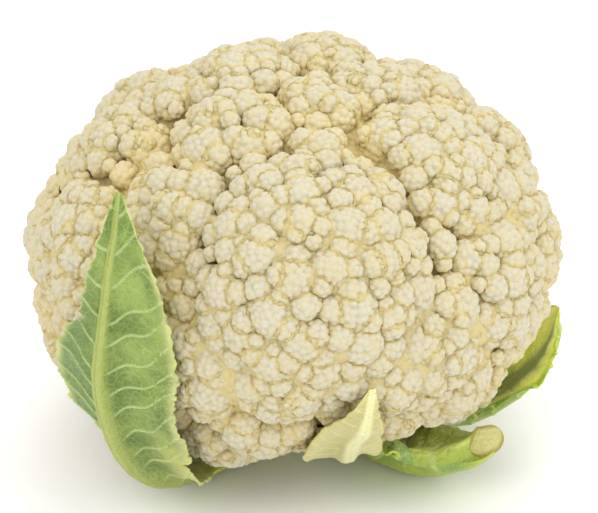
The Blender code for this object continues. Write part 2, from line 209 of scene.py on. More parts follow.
WAVES_ALONG = 5.0
WAVE_HALF_WIDTH = 0.020
LEAN_SHARE = 1 / 3
LOOK_AROUND = 14
LOOK_WIDTH = 0.075
STEEPEST_CONTACT = -0.82
COARSE = (64, 24)
FINE_LEAF_STEP = 0.00055
EDGE_LAYERS = 8
EDGE_CROWDING = 1.15
NARROWEST_BLADE = 0.001
DEEPEST_CUT = 0.8
RIB_FOOT = 1.1
PUCKER_FROM = 0.004
TIP_RISE = (0.72, 0.28)
STUB = (0.62, 0.30)
VEIN_REACH = 0.045
THINNEST_VEIN = 0.00050
TWIGS = ((0.35, 1), (0.62, -1))
TWIG_REACH = 0.028
CUT_DEPTH = 0.0025
WOBBLES = ((1.0, 0.5), (1.73, 0.35), (2.41, 0.25))

# Fine form of each leaf, in metres: side veins, puckers, teeth, tears and curled edges.
# A tear is (side, share of the length, depth, width); a curl is (side, share, width, start, rise)
PLAIN_STYLE = {
    "cup": 0.085,
    "wave": 0.0012,
    "clearance": 0.0014,
    "vein_gap": 0.0105,
    "vein_slant": 0.95,
    "vein_bow": 7.0,
    "vein_from": 0.20,
    "vein_width": 0.0010,
    "vein_height": 0.0006,
    "pucker": 0.0007,
    "tooth": 0.0036,
    "tooth_depth": 0.0009,
    "ragged": 0.0012,
    "tears": (),
    "curls": (),
    "tip_lift": 0.0,
    "smooth": 2,
    "thin_tip": True,
    "inner_fill": 0.0,
    "rib_wide": 0.95,
    "rib_steep": 2.6,
    "rib_taper": 0.30,
}
LEAF_STYLES = {
    "leaf_left": {
        "seed": 3,
        "wave": 0.0010,
        "vein_slant": 0.50,
        "vein_bow": 9.0,
        "smooth": 4,
        "vein_gap": 0.0098,
        "vein_width": 0.0008,
        "tears": ((-1, 0.385, 0.0035, 0.012), (-1, 0.770, 0.0034, 0.010), (1, 0.43, 0.0030, 0.008)),
        "curls": ((1, 0.30, 0.10, 0.55, 0.006), (-1, 0.75, 0.20, 0.5, 0.008)),
        "rib_taper": 0.75,
        "tip_lift": 0.0030,
    },
    "leaf_front_small": {
        "seed": 5,
        "cup": 0.060,
        "wave": 0.0004,
        "smooth": 14,
        "rib_wide": 0.70,
        "rib_taper": 0.50,
        "vein_gap": 0.0080,
        "vein_width": 0.0007,
        "vein_height": 0.0003,
        "pucker": 0.0003,
        "tooth_depth": 0.0003,
        "ragged": 0.0006,
        "tip_lift": 0.0010,
    },
    "leaf_right_front": {
        "seed": 7,
        "cup": 0.027,
        "wave": 0.0004,
        "clearance": 0.0036,
        "smooth": 12,
        "thin_tip": False,
        "rib_wide": 1.0,
        "rib_steep": 2.0,
        "inner_fill": 0.0070,
        "vein_gap": 0.0120,
        "vein_slant": 0.35,
        "vein_bow": 9.0,
        "vein_width": 0.0013,
        "tooth_depth": 0.0006,
        "ragged": 0.0016,
    },
    "leaf_right_side": {
        "seed": 11,
        "tooth_depth": 0.0003,
        "ragged": 0.0005,
        "curls": ((-1, 0.80, 0.16, 0.35, 0.007),),
        "tip_lift": 0.0006,
        "smooth": 8,
    },
    "leaf_back_right": {
        "seed": 13,
        "tears": ((1, 0.52, 0.0060, 0.015),),
        "curls": ((1, 0.70, 0.15, 0.45, 0.012), (-1, 0.55, 0.15, 0.5, 0.010)),
        "tip_lift": 0.0020,
    },
    "leaf_back_left": {
        "seed": 17,
        "tears": ((-1, 0.60, 0.0050, 0.015),),
        "curls": ((-1, 0.68, 0.15, 0.45, 0.012), (1, 0.50, 0.12, 0.5, 0.010)),
        "tip_lift": 0.0020,
    },
}

# Colours of the leaves, linear red, green and blue; the vivid and rim inside colours carry painted light,
# and the darker left colours add painted shade to the left half
GREEN_LOOK = {
    "dark": (0.105, 0.175, 0.022),
    "light": (0.300, 0.390, 0.085),
    # Left half: the leaf's bluish tone, darkened with painted shade
    "left": (0.150, 0.235, 0.090),
    "net": (0.360, 0.450, 0.150),
    "edge": (0.560, 0.570, 0.240),
    "warm": (0.520, 0.520, 0.170),
    "base": (0.500, 0.500, 0.095),
    "vein": (0.470, 0.550, 0.240),
    "rib": (0.330, 0.370, 0.060),
    "inside": (0.420, 0.460, 0.110),
    "depth": 0.0016,
}
PALE_LOOK = {
    "dark": (0.510, 0.470, 0.175),
    "light": (0.580, 0.535, 0.260),
    "left": (0.560, 0.520, 0.245),
    "net": (0.620, 0.570, 0.300),
    "edge": (0.540, 0.480, 0.190),
    "warm": (0.560, 0.500, 0.210),
    "base": (0.470, 0.500, 0.140),
    "vein": (0.660, 0.620, 0.360),
    "rib": (0.740, 0.740, 0.400),
    "inside": (0.580, 0.540, 0.245),
    "depth": 0.0016,
}
VIVID_LOOK = {
    "dark": (0.160, 0.260, 0.030),
    "light": (0.330, 0.440, 0.070),
    "left": (0.190, 0.300, 0.085),
    "net": (0.380, 0.480, 0.110),
    "edge": (0.360, 0.440, 0.060),
    "warm": (0.420, 0.480, 0.080),
    "base": (0.450, 0.520, 0.070),
    "vein": (0.480, 0.560, 0.200),
    "rib": (0.420, 0.510, 0.060),
    # Inner face: paler than the blade, brightened as painted light where the curd shades it
    "inside": (0.680, 0.760, 0.210),
    "depth": 0.0016,
}
RIM_LOOK = {
    "dark": (0.120, 0.210, 0.006),
    "light": (0.260, 0.380, 0.030),
    "left": (0.200, 0.320, 0.030),
    "net": (0.340, 0.440, 0.080),
    "edge": (0.130, 0.230, 0.004),
    "warm": (0.600, 0.620, 0.200),
    "base": (0.700, 0.720, 0.240),
    "vein": (0.560, 0.620, 0.200),
    "rib": (0.380, 0.470, 0.070),
    # Inner face: pale yellow-green, brightened strongly as painted light where the curd shades it
    "inside": (0.900, 0.900, 0.360),
    "depth": 0.0060,
}
CUT_FACE = (0.560, 0.530, 0.210)
CUT_RING = (0.340, 0.280, 0.050)

# The stalk, as in the model
STALK_RADIUS = 0.0195
STALK_NECK = 0.014
STALK_FLARE = 0.039
STALK_GAP = 0.0008
STALK_BRANCHES = 9
STALK_RIB = 0.0035
STALK_GREEN = (0.560, 0.600, 0.260)
STALK_PALE = (0.760, 0.760, 0.480)
STALK_BEVEL = 0.0008
FLARE_EDGE = 0.0045
STALK_SIDE = ((0.036, 0.0245), (0.029, 0.0215), (0.0235, 0.0175))
STALK_GRID = (190, 360)
GROOVES = ((0.0004, 31, 3), (0.0003, 57, 0))
FORK_RADIUS = 0.0036
FORK_GRID = (40, 33)
FORK_START = 0.0305
FORK_END = (0.053, 0.058)
FORK_SPLIT = 9.0

# The closed inside of the head
DISH_BELOW = -0.3
CORE_RIM = 0.004
PROUD_LEAST = 0.001
CORE_SHRINK = 0.0016
CORE_FLOOR = 0.0132
CORE_GRID = (240, 400)
CORE_CLOSE = 3
CORE_PARTS = 16

# Numbers of the colour sockets of a mix node
MIX_COLOURS = (6, 7)
MIX_RESULT = 2

# Colours of the curd, linear red, green and blue; the tan and the ochre are painted shade, for creases and
# for deep hollows
CURD_IVORY = (0.552, 0.521, 0.418)
CURD_CREAM = (0.546, 0.503, 0.373)
# Painted shade: tan in the creases between lobes and knobs and at the rims of the granules
CURD_TAN_SHADE = (0.570, 0.458, 0.180)
# Painted shade: warm ochre in the hollows that sink under the head's outline
CURD_OCHRE_SHADE = (0.690, 0.555, 0.235)
CURD_BLOTCH = (0.590, 0.440, 0.200)
CURD_SPECK = (0.330, 0.200, 0.075)

# The camera of the photograph, and the lights as name, place, size and power
CAMERA_RISE = 25.0
CAMERA_AWAY = 0.85
CAMERA_LENS = 153.4
CAMERA_SHIFT = (0.0092, 0.0025)
FLOOR_HALF = 3.0
FLOOR_WHITE = ((0.95, 0.95, 0.95), (0.97, 0.97, 0.97))
AIM = (0.0, 0.0, 0.07)
WORLD_LIGHT = 1.02
LIGHTS = (
    ("key", (-0.30, -0.95, 0.95), 0.9, 5.5),
    ("fill", (1.00, -0.50, 0.80), 0.9, 4.0),
    ("top", (0.15, 0.60, 1.40), 0.9, 5.0),
)


def direction(azimuth, elevation):
    """Unit vector from the head's centre: azimuth 0 is the front, 90 is +X, elevation is upward."""
    a, e = math.radians(azimuth), math.radians(elevation)
    return np.array((math.sin(a) * math.cos(e), -math.cos(a) * math.cos(e), math.sin(e)))


def outline(rays):
    """Distance from the head's centre to its smooth outline along unit rays."""
    rise = np.where(rays[..., 2] > 0, HEAD_RISE, HEAD_DROP)
    scaled = rays / np.stack((np.full_like(rise, HEAD_HALF_X), np.full_like(rise, HEAD_HALF_Y), rise), -1)
    return 1.0 / np.linalg.norm(scaled, axis=-1)


def outline_normal(ray):
    """Unit normal of the smooth outline where a ray from the head's centre meets it."""
    rise = HEAD_RISE if ray[2] > 0 else HEAD_DROP
    normal = ray / np.array((HEAD_HALF_X, HEAD_HALF_Y, rise)) ** 2
    return normal / np.linalg.norm(normal)


def from_axis(places):
    """Distance of places, given from the head's centre, to the stalk's upright axis."""
    return np.hypot(places[..., 0] + HEAD_CENTRE[0], places[..., 1] + HEAD_CENTRE[1])


def underside(rays):
    """Distance from the head's centre to the hollow dish under it, where the stalk's branches spread."""
    steep = np.minimum(rays[..., 2], -0.05)
    flat_reach = (HEAD_CENTRE[2] - UNDERSIDE_TOP) / -steep
    out = np.minimum(from_axis(rays * flat_reach[..., None]) / UNDERSIDE_HALF_WIDTH, 1.6)
    return (HEAD_CENTRE[2] - UNDERSIDE_TOP + UNDERSIDE_FALL * out**2) / -steep


def fibonacci_rays(count):
    """Evenly spread unit rays over the whole sphere."""
    turn = math.pi * (3.0 - math.sqrt(5.0))
    rays = []
    for i in range(count):
        height = 1.0 - 2.0 * (i + 0.5) / count
        flat = math.sqrt(1.0 - height * height)
        rays.append(np.array((flat * math.cos(turn * i), flat * math.sin(turn * i), height)))
    return rays


def grow_florets(rng):
    """Every floret as (centre of its dome, radius of its dome, is it in front)."""
    chosen = [(direction(az, el), half, proud, True) for az, el, half, proud in SEEN_FLORETS]
    for ray in fibonacci_rays(UNSEEN_FLORETS):
        half = rng.uniform(*UNSEEN_HALF_WIDTH)
        if math.degrees(math.asin(ray[2])) < UNSEEN_LOWEST:
            continue
        place = ray * outline(ray)
        apart = min(
            np.linalg.norm(place - spot * outline(spot)) / (half + width) for spot, width, _, _ in chosen
        )
        if apart > FLORET_ROOM:
            chosen.append((ray, half, rng.uniform(*UNSEEN_PROUD), False))
    florets = []
    for ray, half, proud, seen in chosen:
        radius = DOME_CURVE * half
        apex = ray * (outline(ray) + proud)
        florets.append((apex - outline_normal(ray) * radius, radius, seen))
    return florets


def sphere_reach(rays, centres, radii):
    """Distance along unit rays to the far side of every sphere, 0 where a ray misses it."""
    along = rays @ centres.T
    inside = along**2 - (centres**2).sum(1) + radii**2
    return np.where(inside > 0, along + np.sqrt(np.maximum(inside, 0.0)), 0.0)


def random_rays(rng, count):
    """Unit rays in random directions."""
    rays = rng.normal(size=(count, 3))
    return rays / np.linalg.norm(rays, axis=1)[:, None]


def throw_darts(florets, count, valley, rng):
    """Random rays from the head's centre, with the floret, its dome and the distance that each meets."""
    domes = np.array([f[0] for f in florets])
    radii = np.array([f[1] for f in florets])
    rays = random_rays(rng, count)
    reaches = sphere_reach(rays, domes, radii)
    owners = reaches.argmax(axis=1)
    return rays, owners, domes[owners], np.maximum(reaches.max(axis=1), outline(rays) - valley)


def crowded(top, size, tops, sizes, spacing):
    """Whether a lobe with its top here would come too near one that is already there."""
    return (np.linalg.norm(tops - top, axis=1) < spacing * (sizes + size)).any()


def sink(top, dome, size):
    """Centre of a lobe of this radius whose top lies here, straight out from a floret's dome."""
    up = top - dome
    return top - up / np.linalg.norm(up) * size


def grow_lobes(florets, rng):
    """Round lobes that cover the florets: centres from the head's centre, radii and each one's floret."""
    rays, owners, domes, reaches = throw_darts(florets, DARTS, FLORET_VALLEY, rng)
    tops, sizes, lobes, parents = np.zeros((0, 3)), np.zeros(0), [], []
    for dart, (ray, owner) in enumerate(zip(rays, owners, strict=True)):
        top = ray * reaches[dart]
        if ray[2] < 0 and from_axis(top) < LOWEST_LOBE_REACH:
            continue
        low, high = LOBE_RADIUS_FRONT if florets[owner][2] else LOBE_RADIUS_BACK
        eager = max(0.0, 1.0 - LOBE_FADE * dart / DARTS)
        size = low + (high - low) * eager * rng.uniform(*LOBE_SIZE_SHARE)
        if crowded(top, size, tops, sizes, LOBE_SPACING):
            continue
        tops = np.vstack((tops, top))
        sizes = np.append(sizes, size)
        lobes.append(sink(top, domes[dart], size))
        parents.append(owner)
    return np.array(lobes), sizes, np.array(parents)


def fill_lobes(florets, lobes, sizes, parents, rng):
    """Adds small lobes in the hollows between the large ones."""
    rays, owners, domes, reaches = throw_darts(florets, FILL_DARTS, FILL_VALLEY, rng)
    low, high = FILL_RADIUS
    centres, families = [lobes], [parents]
    tops, widths = np.zeros((0, 3)), np.zeros(0)
    for dart, (ray, owner) in enumerate(zip(rays, owners, strict=True)):
        top = ray * (reaches[dart] - rng.uniform(0.0, FILL_DROP))
        if ray[2] < 0 and from_axis(top) < LOWEST_LOBE_REACH - FILL_INSET:
            continue
        size = low + (high - low) * max(0.0, 1.0 - FILL_FADE * dart / FILL_DARTS)
        if (np.linalg.norm(lobes - top, axis=1) - sizes).min() < FILL_CLEAR * size:
            continue
        if crowded(top, size, tops, widths, FILL_SPACING):
            continue
        tops = np.vstack((tops, top))
        widths = np.append(widths, size)
        centres.append(sink(top, domes[dart], size)[None])
        families.append([owner])
    return np.vstack(centres), np.concatenate((sizes, widths)), np.concatenate(families)


def basis(axis):
    """Three unit vectors, the last along the axis."""
    side = np.cross(axis, HELPERS[0] if abs(axis[2]) < UPRIGHT else HELPERS[1])
    side /= np.linalg.norm(side)
    return np.stack((side, np.cross(axis, side), axis))


def square_to_disc(steps):
    """A square grid of points bent to a disc, as offsets in two directions and the grid's own places."""
    line = np.linspace(-1.0, 1.0, steps + 1)
    a, b = np.meshgrid(line, line, indexing="ij")
    wide = np.abs(a) > np.abs(b)
    radius = np.where(wide, a, b)
    safe = np.where(np.abs(radius) < 1e-9, 1.0, radius)
    turn = np.where(wide, (math.pi / 4) * b / safe, math.pi / 2 - (math.pi / 4) * a / safe)
    return radius * np.cos(turn), radius * np.sin(turn), a, b


def knobs_on(size, rng):
    """Knobs over a lobe as unit directions from its centre, how far out and how large each one is."""
    area = KNOB_PACKING * np.mean(KNOB_RADIUS) ** 2
    count = max(FEWEST_KNOBS, int(4 * math.pi * size**2 / area))
    rays = np.array(fibonacci_rays(count))
    rays += rng.normal(scale=KNOB_JITTER * math.sqrt(4 * math.pi / count), size=rays.shape)
    rays /= np.linalg.norm(rays, axis=1)[:, None]
    widths = rng.uniform(*KNOB_RADIUS, size=count) * min(1.0, KNOB_SHRINK[0] + size / KNOB_SHRINK[1])
    return rays, size - widths - rng.uniform(0.0, KNOB_DROP, size=count), widths


def spin(rays, rng):
    """The rays turned together to a random attitude."""
    turn, _ = np.linalg.qr(rng.normal(size=(3, 3)))
    return rays @ turn.T


def cap_of(centre, size, up, lobes, sizes, rng):
    """One lobe's knobbly skin as a grid: places, places on the map, the painted shade of its creases and
    the gap to near lobes.
    """
    steps = max(FEWEST_STEPS, int(round(2 * CAP_REACH * size / FINE_STEP)))
    x, y, a, b = square_to_disc(steps)
    reach = np.hypot(x, y)
    polar = reach * CAP_REACH
    safe = np.where(reach < 1e-9, 1.0, reach)
    local = np.stack((np.sin(polar) * x / safe, np.sin(polar) * y / safe, np.cos(polar)), -1).reshape(-1, 3)
    rays = local @ basis(up)
    knob_rays, outs, widths = knobs_on(size, rng)
    knob_rays = spin(knob_rays, rng)
    hits = sphere_reach(rays, knob_rays * outs[:, None], widths)
    second, first = np.sort(hits, axis=1)[:, -2:].T
    radius = np.maximum(first, size - KNOB_FLOOR)
    between = np.clip(1.0 - (first - second) / KNOB_JOIN, 0.0, 1.0) ** 2
    depth = np.clip((size - radius) / KNOB_FLOOR, 0.0, 1.0)
    places = centre + rays * radius[:, None]
    gap = (np.linalg.norm(places[:, None] - lobes[None], axis=2) - sizes).min(axis=1, initial=1.0)
    # Painted shade for creases: strongest where lobes meet, then where knobs join, then on the knob floors
    crease_shade = np.maximum(DEPTH_CREASE_SHADE * depth, KNOB_CREASE_SHADE * between)
    crease_shade = np.maximum(crease_shade, LOBE_CREASE_SHADE * np.clip(1.0 - gap / LOBE_JOIN, 0.0, 1.0))
    return places, steps, np.stack((a.ravel(), b.ravel()), -1), crease_shade, gap


def head_reach(rays, lobes, sizes):
    """Distance from the head's centre to the outermost large lobe along unit rays."""
    reach = np.maximum(sphere_reach(rays, lobes, sizes).max(axis=1), outline(rays) - CORE_DEPTH)
    dish = underside(rays)
    below = (rays[:, 2] < DISH_BELOW) & (from_axis(rays * dish[:, None]) < UNDERSIDE_HALF_WIDTH)
    return np.where(below, np.minimum(reach, dish), reach)


def along_path(path, share):
    """Smooth values of a leaf's path rows at a share from 0 to 1 of its length, by Catmull-Rom."""
    rows = np.array(path) * PATH_UNITS
    rows = np.vstack((2 * rows[0] - rows[1], rows, 2 * rows[-1] - rows[-2]))
    spot = min(share, 1.0 - 1e-9) * (len(path) - 1)
    first, t = int(spot), spot - int(spot)
    a, b, c, d = rows[first : first + 4]
    return 0.5 * (2 * b + (c - a) * t + (2 * a - 5 * b + 4 * c - d) * t**2 + (3 * b - a - 3 * c + d) * t**3)


def rib_point(path, share):
    """Place of the rib's inner face at a share of the leaf's length."""
    azimuth, reach, height = along_path(path, share)[:3]
    a = math.radians(azimuth)
    lean = HEAD_CENTRE[1] * min(1.0, share / LEAN_SHARE)
    return np.array((reach * math.sin(a), -reach * math.cos(a) + lean, height))


def leaf_point(path, style, share, across, lobes, sizes):
    """Place on the blade's inner face, offset from the rib and the rib's thickness there."""
    _, _, _, left, right, rib = along_path(path, share)
    place = rib_point(path, share)
    along = rib_point(path, min(1.0, share + 0.01)) - rib_point(path, max(0.0, share - 0.01))
    along /= np.linalg.norm(along)
    away = place - HEAD_CENTRE
    away -= along * (away @ along)
    away /= np.linalg.norm(away)
    side = np.cross(along, away)
    width = right if across > 0 else left
    offset = width * math.copysign(abs(across) ** ACROSS_CROWDING, across)
    cup = style["cup"]
    bend = offset / cup
    swing = math.sin(2 * math.pi * WAVES_ALONG * share + 2.0 * np.sign(across))
    wave = style["wave"] * (offset / WAVE_HALF_WIDTH) ** 2 * swing
    place = place + side * cup * math.sin(bend) - away * cup * (1 - math.cos(bend)) + away * wave
    return clear_of_head(place, style["clearance"], lobes, sizes), offset, rib


def clear_of_head(place, clearance, lobes, sizes):
    """The place, moved straight out from the head's centre where it would come too near the lobes."""
    away = place - HEAD_CENTRE
    reach = np.linalg.norm(away)
    ray = away / reach
    if ray[2] < STEEPEST_CONTACT:
        return place
    around = np.array(fibonacci_rays(LOOK_AROUND)) * LOOK_WIDTH + ray
    around /= np.linalg.norm(around, axis=1)[:, None]
    return HEAD_CENTRE + ray * max(reach, head_reach(around, lobes, sizes).max() + clearance)


def smooth_sample(grid, rows, columns):
    """Values of a coarse grid at fractional rows and columns, by cubic Catmull-Rom."""
    high, wide = grid.shape[:2]
    r, c = np.clip(rows, 0, high - 1.000001), np.clip(columns, 0, wide - 1.000001)
    r0, c0 = r.astype(int), c.astype(int)
    tr, tc = r - r0, c - c0

    def weights(t):
        return (
            0.5 * (-t + 2 * t**2 - t**3),
            0.5 * (2 - 5 * t**2 + 3 * t**3),
            0.5 * (t + 4 * t**2 - 3 * t**3),
            0.5 * (-(t**2) + t**3),
        )

    total = 0.0
    for i, wr in enumerate(weights(tr)):
        row = np.clip(r0 + i - 1, 0, high - 1)
        for j, wc in enumerate(weights(tc)):
            column = np.clip(c0 + j - 1, 0, wide - 1)
            weight = wr * wc
            value = grid[row, column]
            total = total + value * (weight[..., None] if value.ndim > weight.ndim else weight)
    return total


def wobble(values, seed):
    """Smooth random swings between about -1 and 1 along a line of values."""
    rng = np.random.default_rng(seed)
    total = np.zeros_like(values)
    for octave in range(3):
        turns = 2.0**octave
        for (pace, share), phase in zip(WOBBLES, rng.uniform(0, 2 * math.pi, 3), strict=True):
            total += np.sin(values * turns * pace + phase) / turns * share
    return total


def bell(values, middle, width):
    """A smooth bump of height 1 about the middle."""
    return np.exp(-(((values - middle) / width) ** 2))


def leaf_edge(style, share, length, side):
    """How much of the blade's width is left at each row, after teeth, waves and tears."""
    metres = share * length
    teeth = np.abs((metres / style["tooth"] + 0.35 * wobble(metres * 260, 5 + side)) % 1.0 - 0.5) * 2
    cut = style["tooth_depth"] * teeth + style["ragged"] * (0.5 + 0.5 * wobble(metres * 420, 9 + side))
    for tear_side, at, depth, width in style["tears"]:
        if tear_side == side:
            cut = cut + depth * bell(share, at, width)
    return cut * np.clip(share * 8 - 1.6, 0, 1) * np.clip((1 - share) * 12, 0, 1)


def signed_power(values, power):
    """The power of each value's size, with the sign that the value had."""
    return np.sign(values) * np.abs(values) ** power


def ease(values):
    """Values kept between 0 and 1, with a soft start and end."""
    kept = np.clip(values, 0, 1)
    return kept**2 * (3 - 2 * kept)


def coarse_leaf(path, style, lobes, sizes):
    """A smoothed coarse grid over a leaf: place, offset from the rib and the rib's thickness."""
    shares, acrosses = np.linspace(0, 1, COARSE[0] + 1), np.linspace(-1, 1, COARSE[1] + 1)
    coarse = np.zeros((len(shares), len(acrosses), 5))
    for i, share in enumerate(shares):
        for j, across in enumerate(acrosses):
            place, offset, rib = leaf_point(path, style, share, across, lobes, sizes)
            coarse[i, j] = (*place, offset, rib)
    places = coarse[..., :3]
    for _ in range(style["smooth"]):
        places[1:-1] += 0.5 * ((places[:-2] + places[2:]) / 2 - places[1:-1])
        places[:, 1:-1] += 0.5 * ((places[:, :-2] + places[:, 2:]) / 2 - places[:, 1:-1])
    return coarse


def trimmed_blade(coarse, style, u, v, length):
    """Half-widths of the blade at each row, and how far out each column lies once the edge is cut."""
    shares = np.linspace(0, 1, len(coarse))
    half = np.stack([np.interp(u, shares, width) for width in (-coarse[:, 0, 3], coarse[:, -1, 3])], -1)
    cut = np.stack([leaf_edge(style, u, length, side) for side in (-1, 1)], -1)
    kept = 1.0 - np.clip(cut / np.maximum(half, NARROWEST_BLADE), 0, DEEPEST_CUT)
    return half, signed_power(v, EDGE_CROWDING) * np.where(v < 0, kept[:, :1], kept[:, 1:])


def blade_lift(style, share, offset, out_share, swell):
    """How far the blade rises between its veins, at curled edges and at the tip."""
    lift = style["pucker"] * (1.0 - swell) * np.clip(np.abs(offset) / PUCKER_FROM, 0, 1)
    for side, at, width, start_at, rise in style["curls"]:
        past = np.clip(side * np.sign(offset) * out_share - start_at, 0, 1)
        lift = lift + rise * bell(share, at, width) * past**2
    return lift + style["tip_lift"] * np.clip((share - TIP_RISE[0]) / TIP_RISE[1], 0, 1) ** 2


def leaf_piece(name, path, style, lobes, sizes):
    """One leaf in fine detail: inner and outer face with rib, veins, puckers, teeth and edges."""
    coarse = coarse_leaf(path, style, lobes, sizes)
    length = np.linalg.norm(np.diff(coarse[:, COARSE[1] // 2, :3], axis=0), axis=1).sum()
    widest = np.linalg.norm(np.diff(coarse[..., :3], axis=1), axis=2).sum(axis=1).max()
    u = np.linspace(0, 1, int(length / FINE_LEAF_STEP) + 1)
    v = np.linspace(-1, 1, int(widest / FINE_LEAF_STEP / 2) * 2 + 1)
    half, trimmed = trimmed_blade(coarse, style, u, v, length)
    share = np.repeat(u[:, None], len(v), axis=1)
    crowd = signed_power(trimmed, 1 / ACROSS_CROWDING)
    sampled = smooth_sample(coarse, share * COARSE[0], (crowd + 1) / 2 * COARSE[1])
    inner, offset, rib = sampled[..., :3], sampled[..., 3], sampled[..., 4]
    vein, swell = side_veins(share * length, offset, length, style)
    half_here = np.where(offset < 0, half[:, :1], half[:, 1:])
    out_share = np.clip(np.abs(offset) / np.maximum(half_here, 1e-6), 0, 1)
    normal = grid_normals(inner)
    if (normal * (inner - HEAD_CENTRE)).sum() < 0:
        normal = -normal
    rib_half = (RIB_SPREAD[0] + RIB_SPREAD[1] * rib) * (RIB_FOOT - style["rib_taper"] * share)
    fall = np.abs(offset / (rib_half * style["rib_wide"])) ** style["rib_steep"]
    ridge = (rib - BLADE_THICKNESS) * np.exp(-fall)
    vein = vein * (1.0 - bell(offset, 0.0, rib_half * 0.9))
    tip = np.clip((1 - share) * 9, 0.5 if style["thin_tip"] else 1.0, 1)
    blade = BLADE_THICKNESS * (0.75 + 0.25 * (1 - out_share))
    thick = (blade + ridge + style["vein_height"] * vein) * tip
    fill = style["inner_fill"] * bell(offset, 0.0, 0.010) * bell(share, 0.50, 0.34)
    outer_start = inner + normal * blade_lift(style, share, offset, out_share, swell)[..., None]
    inner = outer_start - normal * fill[..., None]
    if not style["thin_tip"]:
        stub = ease((share - STUB[0]) / STUB[1])
        round_off = np.sqrt(np.clip(1 - out_share**2, 0, 1))
        thick = thick * (1 - stub) + stub * rib * (0.5 + 0.5 * round_off)
        inner = inner + normal * (stub * rib * (0.5 - 0.5 * round_off) + stub * fill)[..., None]
    values = {
        "rib": bell(offset, 0.0, rib_half * 0.85 * style["rib_wide"]),
        "vein": vein,
        "edge": out_share,
        "along": share,
        "offset": offset,
    }
    return leaf_mesh(name, inner, outer_start + normal * thick[..., None], values)


def side_veins(metres, offset, length, style):
    """How strongly a side vein shows at each place, and the swell of the blade between veins."""
    vein, pucker = np.zeros_like(offset), np.zeros_like(offset)
    reach = np.abs(offset)
    gap = style["vein_gap"]
    slant, bow = style["vein_slant"], style["vein_bow"]
    rng = np.random.default_rng(style["seed"])
    for side in (-1, 1):
        here = np.sign(offset) == side
        shifted = metres - slant * reach - bow * reach**2 + 0.0012 * np.sin(reach * 420 + side)
        starts = np.arange(style["vein_from"] * length, length * 1.1, gap) + rng.uniform(-0.18, 0.18) * gap
        starts = starts + rng.uniform(-0.15, 0.15, len(starts)) * gap
        edges = np.concatenate(([starts[0] - gap], starts, [starts[-1] + gap]))
        for start in starts:
            width = np.clip(style["vein_width"] * (1 - reach / VEIN_REACH), THINNEST_VEIN, 1)
            width = width * (1 - 0.4 * start / length)
            line = np.exp(-(((shifted - start) * 0.8 / width) ** 2))
            vein = np.where(here, np.maximum(vein, line), vein)
            for branch, turn in TWIGS:
                out = branch * TWIG_REACH
                bent = shifted - start + 0.85 * np.clip(reach - out, 0, 1) * turn
                twig = 0.55 * np.exp(-((bent * 0.8 / (width * 0.6)) ** 2)) * (reach > out)
                vein = np.where(here, np.maximum(vein, twig * (np.abs(bent) < gap)), vein)
        order = np.clip(np.searchsorted(edges, shifted.ravel()).reshape(shifted.shape), 1, len(edges) - 1)
        within = (shifted - edges[order - 1]) / (edges[order] - edges[order - 1])
        swell = np.sin(np.clip(within, 0, 1) * math.pi)
        pucker = np.where(here, swell * np.clip(reach / 0.006, 0, 1), pucker)
    return vein, pucker


def grid_normals(grid):
    """Unit normals of a grid of places."""
    along, across = np.gradient(grid, axis=0), np.gradient(grid, axis=1)
    normal = np.cross(along, across)
    size = np.linalg.norm(normal, axis=-1, keepdims=True)
    normal = normal / np.maximum(size, 1e-12)
    padded = np.pad(normal, ((2, 2), (2, 2), (0, 0)), mode="edge")
    soft = sum(padded[i : i + grid.shape[0], j : j + grid.shape[1]] for i in range(5) for j in range(5))
    return soft / np.linalg.norm(soft, axis=-1, keepdims=True)


def grid_faces(index):
    """Four-cornered faces between the neighbours in a grid of point numbers."""
    corners = (index[:-1, :-1], index[1:, :-1], index[1:, 1:], index[:-1, 1:])
    return np.stack(corners, -1).reshape(-1, 4)


def map_grid(across, along):
    """Places on the map for a grid of points, from its steps across and along."""
    return np.stack(np.meshgrid(across, along), -1).reshape(-1, 2)


def leaf_mesh(name, inner, outer, values):
    """Joins the two faces of a leaf with edges all round, and lays out its map."""
    along, across = inner.shape[:2]
    size = along * across
    index = np.arange(size).reshape(along, across)
    face = grid_faces(index)
    inner, outer = inner.reshape(-1, 3), outer.reshape(-1, 3)
    places, quads = [inner, outer], [face, face[:, ::-1] + size]
    wide, high = 0.47 * np.linspace(0, 1, across), 0.01 + 0.84 * np.linspace(0, 1, along)
    maps = [map_grid(0.01 + wide, high), map_grid(0.52 + wide, high)]
    flat = {key: value.ravel() for key, value in values.items()}
    data = {key: [value, value] for key, value in flat.items()}
    data["inside"] = [np.ones(size), np.zeros(size)]
    data["cut"] = [np.zeros(size), np.zeros(size)]
    borders = (
        (index[:, 0], 0.87, 0, 1),
        (index[:, -1], 0.90, 0, -1),
        (index[0, :], 0.93, 1, -1),
        (index[-1, :], 0.96, 1, 1),
    )
    start, share = 2 * size, np.linspace(0, 1, EDGE_LAYERS + 1)
    for line, top, cut, order in borders:
        sheet = inner[line] + (outer[line] - inner[line]) * share[:, None, None]
        rows, columns = sheet.shape[:2]
        strip = grid_faces(np.arange(rows * columns).reshape(rows, columns) + start)
        quads.append(strip[:, ::order])
        places.append(sheet.reshape(-1, 3))
        maps.append(map_grid(np.linspace(0.01, 0.99, columns), np.linspace(top, top + 0.025, rows)))
        for key, value in flat.items():
            data[key].append(np.tile(value[line], rows))
        rim = np.repeat(share[:, None], columns, axis=1)
        data["inside"].append((1 - rim).ravel())
        thickness = np.linalg.norm(outer[line] - inner[line], axis=-1)
        depth = np.minimum(rim, 1 - rim) * thickness / CUT_DEPTH
        data["cut"].append((cut * (0.3 + 0.7 * np.clip(depth, 0, 1))).ravel())
        start += rows * columns
    joined = {key: np.concatenate(parts) for key, parts in data.items()}
    return mesh_piece(name, np.vstack(places), np.vstack(quads), np.vstack(maps), joined)


def stalk_height(reach):
    """Height of the head's hollow underside at this distance from the axis."""
    return UNDERSIDE_TOP - UNDERSIDE_FALL * (reach / UNDERSIDE_HALF_WIDTH) ** 2


